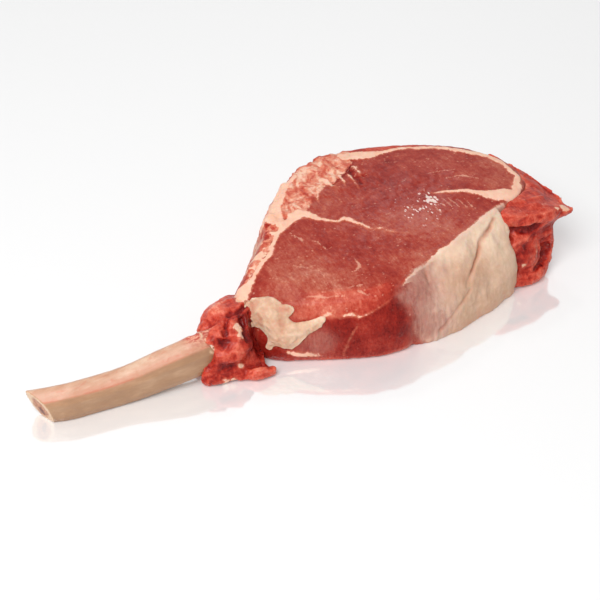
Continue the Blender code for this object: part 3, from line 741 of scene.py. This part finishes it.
# ---------------------------------------------------------------- torn meat
# Settings of the torn pieces:
#   seed        where their noise starts
#   reach       how far their strands are fused
#   fibre       size of the fibres along each axis
#   zones       places to paint and sink: centre, radius, change of tone, depth; the tone is painted
#               shade where they sink and painted light where they rise, over the meat's own colour
#   cuts, ribs  lines sunk and raised, and painted darker and paler as shade and light: x, y, z, half width
#   spots       spots of fat: x, y, z, radius
#   sinew       a line of pale tissue: x, y, z, half width
#   sheet       the flat layer on top: a point of it, its slope along x and along y
#   tuck        a plane that nothing stands in front of: a point, a direction, the x where it starts
SINEW = ((-57.8, -21.5, 23, 0.4), (-57.6, -25.5, 22, 0.8), (-56.4, -28.7, 19, 0.8), (-54.9, -29.9, 15.6, 0.5))
NECK = dict(
    seed=60, reach=2.2, fibre=(7, 1.8, 1.8),
    zones=(((-44, -14, 24), 10, 0.13, -0.5), ((-35.0, -29.5, 19.5), 6.2, -0.34, 2.2),
           ((-32.2, -32.5, 12.5), 6.2, -0.32, 2.2), ((-36.5, -24.5, 25), 3.5, -0.3, 0.8),
           ((-55, -33, 10), 6, -0.17, 0.3), ((-48, -35.5, 9), 5.5, -0.13, 0.3),
           ((-37, -40, 4.5), 5, 0.08, -0.5), ((-27.5, -34.5, 4.5), 3.2, -0.34, 1.4),
           ((-51, -33, 16.5), 4, 0.03, -0.5)),
    cuts=(((-31.5, -18.2, 25.7, 0.3), (-37.8, -20.3, 25.5, 0.5), (-42.7, -21.4, 25.3, 0.5),
           (-46.5, -25.7, 24.7, 0.5), (-47.8, -28.8, 22.2, 0.3)),
          ((-54.2, -27.8, 21.6, 0.2), (-51.4, -29.6, 19.9, 0.7), (-47, -30, 19.2, 0.4)),
          ((-36.9, -24, 25.2, 0.9), (-38.3, -27.7, 23, 0.8), (-39.5, -30.8, 18.9, 0.6),
           (-39.5, -33.6, 14.7, 0.3)),
          ((-40.5, -36.6, 6.2, 0.2), (-34.4, -36.6, 5.8, 0.9), (-28.5, -35.5, 5.2, 1.4))),
    ribs=(((-44, -21.5, 25.5, 0.6), (-42.3, -26, 24.5, 1.2), (-42.8, -30, 21.5, 1.3), (-44.5, -33, 17, 0.8)),
          ((-42, -39, 4.4, 0.8), (-36, -40.5, 4.6, 1.0), (-31, -41, 4, 0.6))),
    spots=((-41.3, -28.4, 23.4, 2.0), (-42, -30.6, 21.4, 1.3), (-52.5, -35.8, 1.6, 2.0),
           (-49.5, -36.3, 3, 1.3), (-44.2, -35.8, 8.4, 0.7), (-32, -12, 25, 3.2)),
    sinew=SINEW, tuck=((-28.2, -24.0, 17.7), (-0.1, -0.91, 0.4), -32.0))
END = dict(
    seed=80, reach=3.0, fibre=(6, 2, 2),
    zones=(((118, -30, 34), 11, 0.05, 0), ((105.5, -42, 20), 3.4, -0.22, 1.4),
           ((119.5, -41.5, 13), 4.0, -0.2, 1.5), ((107, -43, 12), 8, -0.08, 0.2),
           ((112, -46.5, 3.5), 5, 0.1, -0.6), ((115, -40, 23), 5, -0.14, 0.4),
           ((122.5, -38, 4), 6, 0, 1.0), ((133.5, -37, 31), 5, 0, -0.9)),
    cuts=(((101.5, -36, 29.5, 0.7), (105, -38, 28.8, 0.9), (109.8, -39.3, 28, 1.1), (115, -40, 29, 0.5)),
          ((117, -41.5, 20, 0.7), (119.5, -41.8, 14, 1.5), (117, -43.5, 9, 0.9), (110, -45.5, 7.5, 0.4))),
    ribs=(((103, -40.5, 25, 0.5), (108.5, -41.6, 24, 0.8), (111.5, -42.6, 18.5, 0.9), (110, -43.4, 13.5, 0.7),
           (106, -43.6, 12, 0.4)),),
    spots=((131, -37, 31.5, 2.4), (126, -37, 33, 1.3), (121.5, -34, 34.5, 1.1), (103.8, -44, 12, 0.9),
           (124, -20, 31, 1.6), (128, -27, 28, 1.2)),
    sinew=((113.5, -42, 22, 0.0), (113.2, -42.8, 17, 0.4), (112, -43.5, 13, 0.0)),
    sheet=((116, -26, 36.0), -0.12, 0.05))
SHEET_HINGE = 118            # beyond this x the sheet droops
SHEET_DROOP = 0.017


def feathered(points, tree):
    """Points with any that lie just above the common surface sunk into it, so that edges thin out."""
    moved = points.copy()
    for i, point in enumerate(points):
        spot, normal, _, _ = tree.find_nearest(point, 4)
        if spot is not None:
            rise = float((Vector(point) - spot).dot(normal))
            moved[i] -= np.array(normal) * 1.1 * math.exp(-(max(rise, 0) / 1.4) ** 2)
    return moved


def lay_sheet(torn, sheet):
    """Lays the top of a torn piece on its sheet."""
    points, facing = places(torn), facings(torn)
    (x, y, height), slope_x, slope_y = sheet
    gap = height + slope_x * (points[:, 0] - x) + slope_y * (points[:, 1] - y) - points[:, 2]
    gap -= SHEET_DROOP * np.maximum(points[:, 0] - SHEET_HINGE, 0) ** 2
    points[:, 2] += 0.85 * gap * step(9, 5, gap) * step(0.1, 0.5, facing[:, 2])
    put(torn, blurred(torn, points, 10))


def tuck_back(torn, tuck):
    """Takes back what stands in front of a plane."""
    points = places(torn)
    spot, outward, start = tuck
    ahead = np.maximum((points - np.array(spot)) @ outward, 0)
    ahead *= step(start - 3, start, points[:, 0]) * step(4, 9, points[:, 2])
    put(torn, blurred(torn, points - ahead[:, None] * outward, 2))


def carve(torn, seed, zones, cuts, ribs):
    """Sinks the zones and cuts of a torn piece and raises its ribs."""
    points, facing = places(torn), facings(torn)
    bent = warped(points, 5, 1.1, (seed + 31, seed + 32, seed + 33))
    sunk = sum(depth * near(bent, centre, radius) for centre, radius, _, depth in zones)
    sunk += 1.8 * step(-1.5, 0.2, union(along(bent, line) for line in cuts))
    raised = 0.8 * step(-1.6, 0.8, union(along(bent, line) for line in ribs))
    raised += 0.6 * layers(points, 7, 2, seed + 5)
    put(torn, blurred(torn, points + facing * (raised - sunk)[:, None], 2))


def shred(torn, seed, fibre, zones, cuts, ribs, spots, sinew, sheet):
    """Roughens a torn piece with fibres and shreds, and colours it."""
    points, facing = places(torn), facings(torn)
    swirl = warped(points, 4.5, 1.0, (seed + 21, seed + 22, seed + 23))
    flat = step(0.5, 0.85, facing[:, 2]) * step(25, 30, points[:, 2]) * (1 if sheet else 0)
    fibres = ridges(swirl, fibre, 2, seed) - 0.5
    shreds = ridges(swirl, 4.8, 2, seed + 40) - 0.5
    rough = 0.35 * fibres + 0.6 * shreds + 0.1 * layers(points, 1.6, 2, seed + 6)
    put(torn, points + facing * (rough * (1 - 0.6 * flat))[:, None])

    depth = np.clip(hollows(torn, 60) + 0.6 * hollows(torn, 10), -0.6, 1.2)
    change = sum(shade * near((points + swirl) / 2, centre, radius) for centre, radius, shade, _ in zones)
    # painted shade in hollows and painted light on crests and raised fibres, over random tone and the zones
    tone = 0.58 - 0.2 * depth + 0.12 * layers(points, 6, 3, seed + 8) + 0.1 * fibres + change
    # painted shade in the cuts; painted light on the ribs and on the crests of the shreds
    tone -= 0.27 * step(-1.8, 0.4, union(along(swirl, line) for line in cuts))
    tone += 0.1 * step(-1.6, 0.8, union(along(swirl, line) for line in ribs)) + 0.14 * shreds * (1 - flat)
    fat = union(radius - np.linalg.norm(points - np.array(spot), axis=1) for *spot, radius in spots)
    fat = np.maximum(fat + layers(points, 2.5, 2, seed + 9), along(swirl, sinew))
    store(torn, **plain_fields(len(points), tone=np.maximum(tone, 0.26), fat=np.maximum(fat, FAR),
                               raw=np.clip(1 + 1.4 * change, 0.45, 1), cream=np.full(len(points), 0.3),
                               gloss=0.6 - 0.4 * flat))


def build_torn(name, node, tree, seed, reach, fibre, zones, cuts, ribs, spots, sinew, sheet=None, tuck=None):
    """Ragged muscle: its strands are fused, thinned out onto the chop, then carved, torn and painted."""
    torn = skin(name, [node], 0.5, reach, 10)
    put(torn, blurred(torn, places(torn) - facings(torn) * (reach - 0.6), 3))
    put(torn, feathered(places(torn), tree))
    if sheet:
        lay_sheet(torn, sheet)
    if tuck:
        tuck_back(torn, tuck)
    carve(torn, seed, zones, cuts, ribs)
    torn.data = remeshed(name, torn.data, 0.45, 4)
    shred(torn, seed, fibre, zones, cuts, ribs, spots, sinew, sheet)
    return torn


# ---------------------------------------------------------------- the bone
BONE_SCAR = (-60, -23, 23)       # rough spot where the meat was scraped back
BLOOD_SPOTS = (((-60.5, -22.5, 23), 4.5), ((-65, -19, 23), 3.0))
TIP_CENTRE = (-134.3, -14, 6.5)
TIP_FACING = (-1.0, -0.42, -0.24)
TIP_ACROSS = (-0.316, -0.949, 0.0)


def build_bone():
    """The rib bone, with its sawn tip, blood by the meat and a sinew."""
    bone = skin("rib", ["rib_bone"], 0.5, 0.0, 3)
    points, facing = places(bone), facings(bone)
    height = 0.2 * layers(points, (16, 5, 5), 2, 71) + 0.04 * layers(points, 2, 2, 72)
    height += 0.7 * near(points, BONE_SCAR, 5) * (0.6 + layers(points, 3, 3, 80))
    put(bone, points + facing * height[:, None])

    x, _, z = points.T
    swirl = warped(points, 5, 1.2, (75, 76, 77))
    # 1 facing up: the upper side, pinker and painted paler as lit from above
    tone = step(0.35, 0.75, facing[:, 2])
    near_side = step(0.2, 0.5, -facing[:, 1])
    edge = bump(facing[:, 2] - 0.62, 0.16) * near_side
    blood = sum(near(swirl, *spot) for spot in BLOOD_SPOTS) + 0.6 * step(-60, -54, x) * tone
    sinew = step(-0.4, 0.4, along(swirl, SINEW))

    # the sawn tip: a rim, a paler core and the marrow
    sawn = facing @ (np.array(TIP_FACING) / np.linalg.norm(TIP_FACING))
    tip = step(0.72, 0.9, sawn) * step(-122, -126, x)
    spot = points - np.array(TIP_CENTRE)
    across = spot @ TIP_ACROSS
    core = np.hypot(across / 3.6, spot[:, 2] / 6.4) + 0.12 * layers(points, 2.5, 2, 78)
    marrow = np.hypot(across / 1.1, (spot[:, 2] + 1) / 3.6) + 0.25 * layers(points, 2.0, 2, 79)
    store(bone, tone=tone, low=step(7, 1, z), edge=edge, blood=np.clip(1.2 * blood, 0, 1),
          rim=np.maximum(0.8 * tip, 0.9 * sinew), core=tip * step(1.0, 0.75, core),
          marrow=tip * step(1.0, 0.6, marrow) * 0.9)
    return bone


# ---------------------------------------------------------------- the pieces


def show(piece, look, slot, *nodes):
    """Gives a piece its look, in place of its CAD nodes."""
    piece.data.materials.append(look)
    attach(piece, "root")
    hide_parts(*nodes)


whole, tree = common_surface()
loin = build_slab_piece("loin", "loin_meat", 0.68, 0.35, whole, tree)
show(loin, flesh_look("veal_flesh"), "veal", "loin_meat")
chine = build_slab_piece("chine", "chine_bone", 0.6, 0.55, whole, tree)
show(chine, flesh_look("spongy_bone"), "spongy_bone", "chine_bone")
side_fat = build_slab_piece("side_fat_skin", "side_fat", 0.6, 0.35, whole, tree)
show(side_fat, flesh_look("firm_fat"), "fat", "side_fat")
show(build_lobe(), flesh_look("soft_fat"), "fat", "fat_lobe")
torn_look = flesh_look("torn_flesh", shine=0.2)
show(build_torn("neck", "neck_meat", tree, **NECK), torn_look, "trimmings", "neck_meat")
show(build_torn("end_trim", "end_meat", tree, **END), torn_look, "trimmings", "end_meat")
show(build_bone(), bone_look("scraped_bone"), "rib_bone", "rib_bone")

# ---------------------------------------------------------------- floor, lights and camera

STAGE_RADIUS = 3.0
FLOOR_GLOW = 0.12
FLOOR_SHEEN_INDEX = 3.4          # refractive index of the floor's clear coat, which sets its reflection
DOME_GLOW = 0.9
WORLD_GLOW = 0.4
CAMERA_TARGET = Vector((-1.14, -12.8, 11.4)) * MM
CAMERA_AZIMUTH = math.radians(-30)
CAMERA_ELEVATION = math.radians(40)
CAMERA_DISTANCE = 0.698
CAMERA_LENS = 90


def build_floor():
    """A plain white floor with a soft reflection."""
    bpy.ops.mesh.primitive_circle_add(vertices=96, radius=STAGE_RADIUS, fill_type="NGON")
    floor = bpy.context.object
    floor.name = "floor"
    look = Look("white_floor")
    shader = look.shader
    shader.inputs["Base Color"].default_value = (0.8, 0.8, 0.8, 1)
    shader.inputs["Roughness"].default_value = 0.5
    shader.inputs["Coat Weight"].default_value = 1.0
    shader.inputs["Coat Roughness"].default_value = 0.07
    shader.inputs["Coat IOR"].default_value = FLOOR_SHEEN_INDEX
    shader.inputs["Emission Color"].default_value = (1, 1, 1, 1)
    shader.inputs["Emission Strength"].default_value = FLOOR_GLOW
    floor.data.materials.append(look.material)


def build_dome():
    """A white dome round the scene, seen only in the sheen of the floor and of the wet meat."""
    bpy.ops.mesh.primitive_uv_sphere_add(segments=48, ring_count=24, radius=STAGE_RADIUS * 1.05)
    dome = bpy.context.object
    dome.name = "dome"
    look = Look("white_dome")
    look.shader.inputs["Base Color"].default_value = (0, 0, 0, 1)
    look.shader.inputs["Emission Color"].default_value = (1, 1, 1, 1)
    look.shader.inputs["Emission Strength"].default_value = DOME_GLOW
    look.material.cycles.emission_sampling = "NONE"
    dome.data.materials.append(look.material)
    dome.visible_camera = False
    dome.visible_diffuse = False
    dome.visible_shadow = False


def build_light(name, place, aim, size, power):
    """A round lamp at a place, turned towards its aim; metres and watts."""
    lamp = bpy.data.lights.new(name, "AREA")
    lamp.shape = "DISK"
    lamp.size = size
    lamp.energy = power
    obj = bpy.data.objects.new(name, lamp)
    obj.location = place
    obj.rotation_euler = (Vector(aim) - Vector(place)).to_track_quat("-Z", "Y").to_euler()
    bpy.context.scene.collection.objects.link(obj)


def build_camera():
    """The photo's point of view."""
    camera = bpy.data.cameras.new("camera")
    camera.lens = CAMERA_LENS
    camera.sensor_width = 36
    obj = bpy.data.objects.new("camera", camera)
    back = Vector((math.sin(CAMERA_AZIMUTH) * math.cos(CAMERA_ELEVATION),
                   -math.cos(CAMERA_AZIMUTH) * math.cos(CAMERA_ELEVATION), math.sin(CAMERA_ELEVATION)))
    obj.location = CAMERA_TARGET + back * CAMERA_DISTANCE
    obj.rotation_euler = back.to_track_quat("Z", "Y").to_euler()
    bpy.context.scene.collection.objects.link(obj)
    bpy.context.scene.camera = obj


build_floor()
build_dome()
build_light("key", (-0.55, -0.35, 0.95), (0, 0, 0), 0.8, 12)
build_light("back", (0.41, 0.59, 0.615), (0.062, 0, 0.036), 0.08, 0.5)
build_camera()
world = bpy.data.worlds.new("studio")
world.use_nodes = True
world.node_tree.nodes["Background"].inputs["Color"].default_value = (1, 1, 1, 1)
world.node_tree.nodes["Background"].inputs["Strength"].default_value = WORLD_GLOW
bpy.context.scene.world = world
bpy.context.scene.view_settings.view_transform = "Standard"
